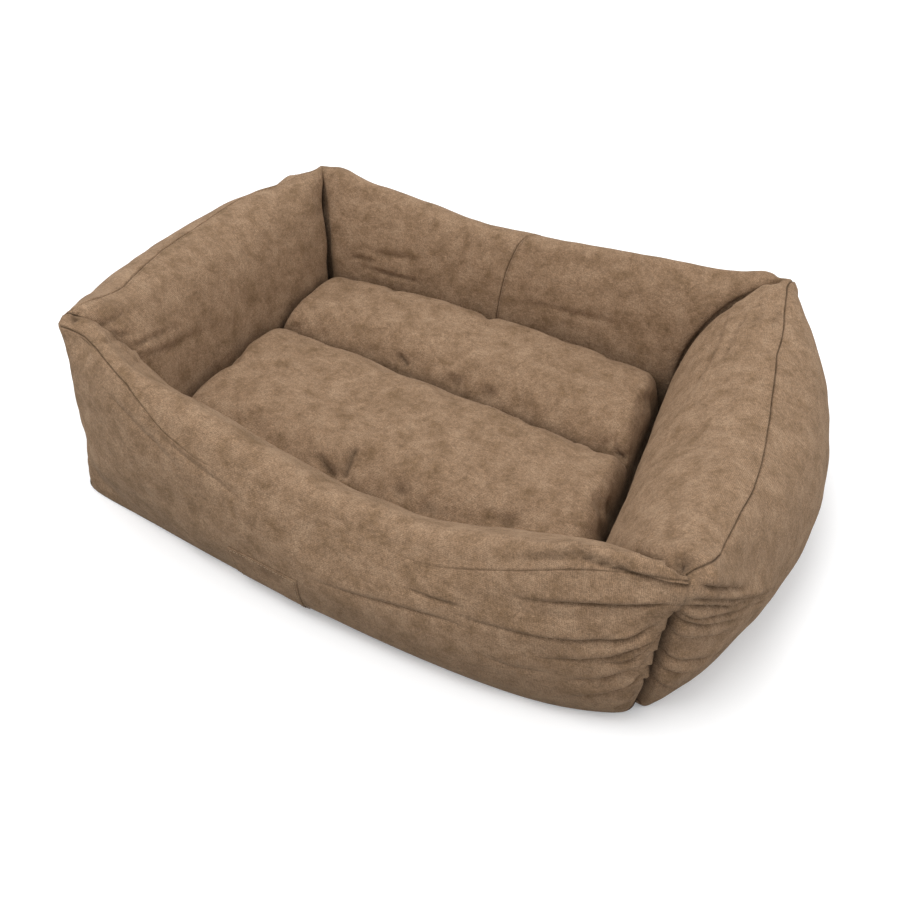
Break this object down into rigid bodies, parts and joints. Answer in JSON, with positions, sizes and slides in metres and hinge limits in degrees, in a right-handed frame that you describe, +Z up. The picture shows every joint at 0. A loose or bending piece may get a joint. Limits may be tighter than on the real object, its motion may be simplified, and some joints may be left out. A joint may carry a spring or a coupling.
{
  "type": "dog basket",
  "caption": "Soft rectangular dog basket: padded bolster walls with raised mitred corners round a loose zipped cushion with a sewn lengthwise channel.",
  "frame": {"origin": "centre of the bed's underside, on the floor", "axes": "+X along the bed to its right-hand end, +Y to its back, +Z up"},
  "size_m": [1.0249, 0.6874, 0.262],
  "materials": {
    "velour": "matte",
    "velour_patch": "matte",
    "fibre_fill": "matte",
    "lining_cloth": "matte",
    "zip_tape": "matte",
    "zip_teeth": "matte",
    "zip_metal": "satin"
  },
  "bodies": {
    "basket": {"base_sheet": "lining_cloth", "base_wadding": "fibre_fill", "floor_lining": "lining_cloth", "front_wall_fill": "fibre_fill", "right_wall_fill": "fibre_fill", "back_wall_fill": "fibre_fill", "left_wall_fill": "fibre_fill", "front_outer_cover": "velour", "right_outer_cover": "velour", "back_outer_cover": "velour", "left_outer_cover": "velour", "front_inner_cover": "velour", "right_inner_cover": "velour", "left_inner_cover": "velour", "back_inner_cover_right": "velour", "back_inner_cover_left": "velour", "front_patch": "velour_patch"},
    "cushion": {"cushion_cover_top": "velour", "cushion_cover_bottom": "velour", "cushion_front_fill": "fibre_fill", "cushion_rear_fill": "fibre_fill", "cushion_divider": "lining_cloth", "zip_tape_front": "zip_tape", "zip_tape_rear": "zip_tape", "zip_teeth_front": "zip_teeth", "zip_teeth_rear": "zip_teeth", "zip_stops": "zip_teeth"},
    "zip_slider_body": {"zip_slider": "zip_metal", "zip_slider_pin": "zip_metal"},
    "zip_pull_body": {"zip_pull": "zip_metal"}
  },
  "joints": [
    {"name": "cushion_lift", "type": "slide", "parent": "basket", "child": "cushion", "axis": [0, 0, 1], "range_m": [0, 0.35]},
    {"name": "zip_run", "type": "slide", "parent": "cushion", "child": "zip_slider_body", "axis": [-1, 0, 0], "range_m": [0, 0.355]},
    {"name": "zip_pull_drop", "type": "hinge", "parent": "zip_slider_body", "child": "zip_pull_body", "pos_m": [0.1513, 0.158, 0.0207], "axis": [0, -1, 0], "range_deg": [0, 85]}
  ]
}
